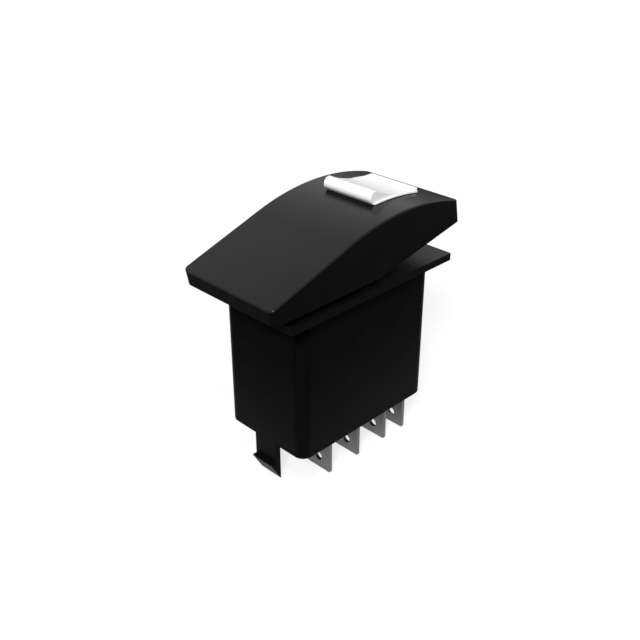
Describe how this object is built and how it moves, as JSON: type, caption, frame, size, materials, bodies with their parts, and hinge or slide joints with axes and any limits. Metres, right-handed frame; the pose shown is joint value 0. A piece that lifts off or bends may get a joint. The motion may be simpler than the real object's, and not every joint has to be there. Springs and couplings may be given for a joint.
{
  "type": "panel rocker switch",
  "caption": "Panel rocker switch: arched black rocker with a white finger grip over a thin flange, boxy body, blade terminals and a barbed connector latch.",
  "frame": {"origin": "centre of the panel opening in the plane of the panel face, the flange's underside", "axes": "+Z out of the panel, Y along the switch with the pressed end at -Y, X across it"},
  "size_m": [0.0258, 0.052, 0.0577],
  "materials": {
    "housing_black": "satin moulded",
    "rocker_black": "satin moulded",
    "lever_black": "plain moulded",
    "grip_white": "smooth moulded",
    "tab_metal": "dull tin plate",
    "copper": "bare copper",
    "contact_silver": "silver",
    "steel": "ground",
    "plunger_plastic": "plain moulded",
    "board": "lacquered",
    "lamp_lens": "clear moulded",
    "resistor": "coated"
  },
  "bodies": {
    "housing": {"base_housing": "housing_black", "bezel_frame": "housing_black", "pivot_pin": "steel", "lamp_board": "board", "indicator_lamp": "lamp_lens", "lamp_resistor": "resistor", "terminal_1": "tab_metal", "terminal_2": "tab_metal", "terminal_3": "tab_metal", "terminal_4": "tab_metal", "terminal_5": "tab_metal", "terminal_6": "tab_metal", "terminal_7": "tab_metal", "terminal_8": "tab_metal", "fixed_contact_1_front": "contact_silver", "fixed_contact_1_rear": "contact_silver", "fixed_contact_2_front": "contact_silver", "fixed_contact_2_rear": "contact_silver"},
    "rocker": {"rocker_cap": "rocker_black", "grip_pad": "grip_white", "actuator_lever": "lever_black", "plunger_spring_1": "steel", "plunger_spring_2": "steel"},
    "plunger_1": {"plunger_1": "plunger_plastic"},
    "contact_bar_1": {"contact_bar_1": "copper", "moving_contact_1_front": "contact_silver", "moving_contact_1_rear": "contact_silver"},
    "plunger_2": {"plunger_2": "plunger_plastic"},
    "contact_bar_2": {"contact_bar_2": "copper", "moving_contact_2_front": "contact_silver", "moving_contact_2_rear": "contact_silver"}
  },
  "joints": [
    {"name": "rocker_pivot", "type": "hinge", "parent": "housing", "child": "rocker", "pos_m": [0, 0, 0.003], "axis": [-1, 0, 0], "range_deg": [0, 11.3]},
    {"name": "plunger_1_slide", "type": "slide", "parent": "rocker", "child": "plunger_1", "axis": [0, -0.0985, 0.9951], "range_m": [0, 0.0008], "stiffness_N_per_m": 600, "deforming": ["plunger_spring_1"]},
    {"name": "contact_bar_1_rock", "type": "hinge", "parent": "housing", "child": "contact_bar_1", "pos_m": [0.00577, 0, -0.022], "axis": [1, 0, 0], "range_deg": [0, 12]},
    {"name": "plunger_2_slide", "type": "slide", "parent": "rocker", "child": "plunger_2", "axis": [0, -0.0985, 0.9951], "range_m": [0, 0.0008], "stiffness_N_per_m": 600, "deforming": ["plunger_spring_2"]},
    {"name": "contact_bar_2_rock", "type": "hinge", "parent": "housing", "child": "contact_bar_2", "pos_m": [-0.00577, 0, -0.022], "axis": [1, 0, 0], "range_deg": [0, 12]}
  ],
  "couplings": [
    {"joint": "contact_bar_1_rock", "follows": "rocker_pivot", "ratio": 1.0619},
    {"joint": "contact_bar_2_rock", "follows": "rocker_pivot", "ratio": 1.0619}
  ]
}
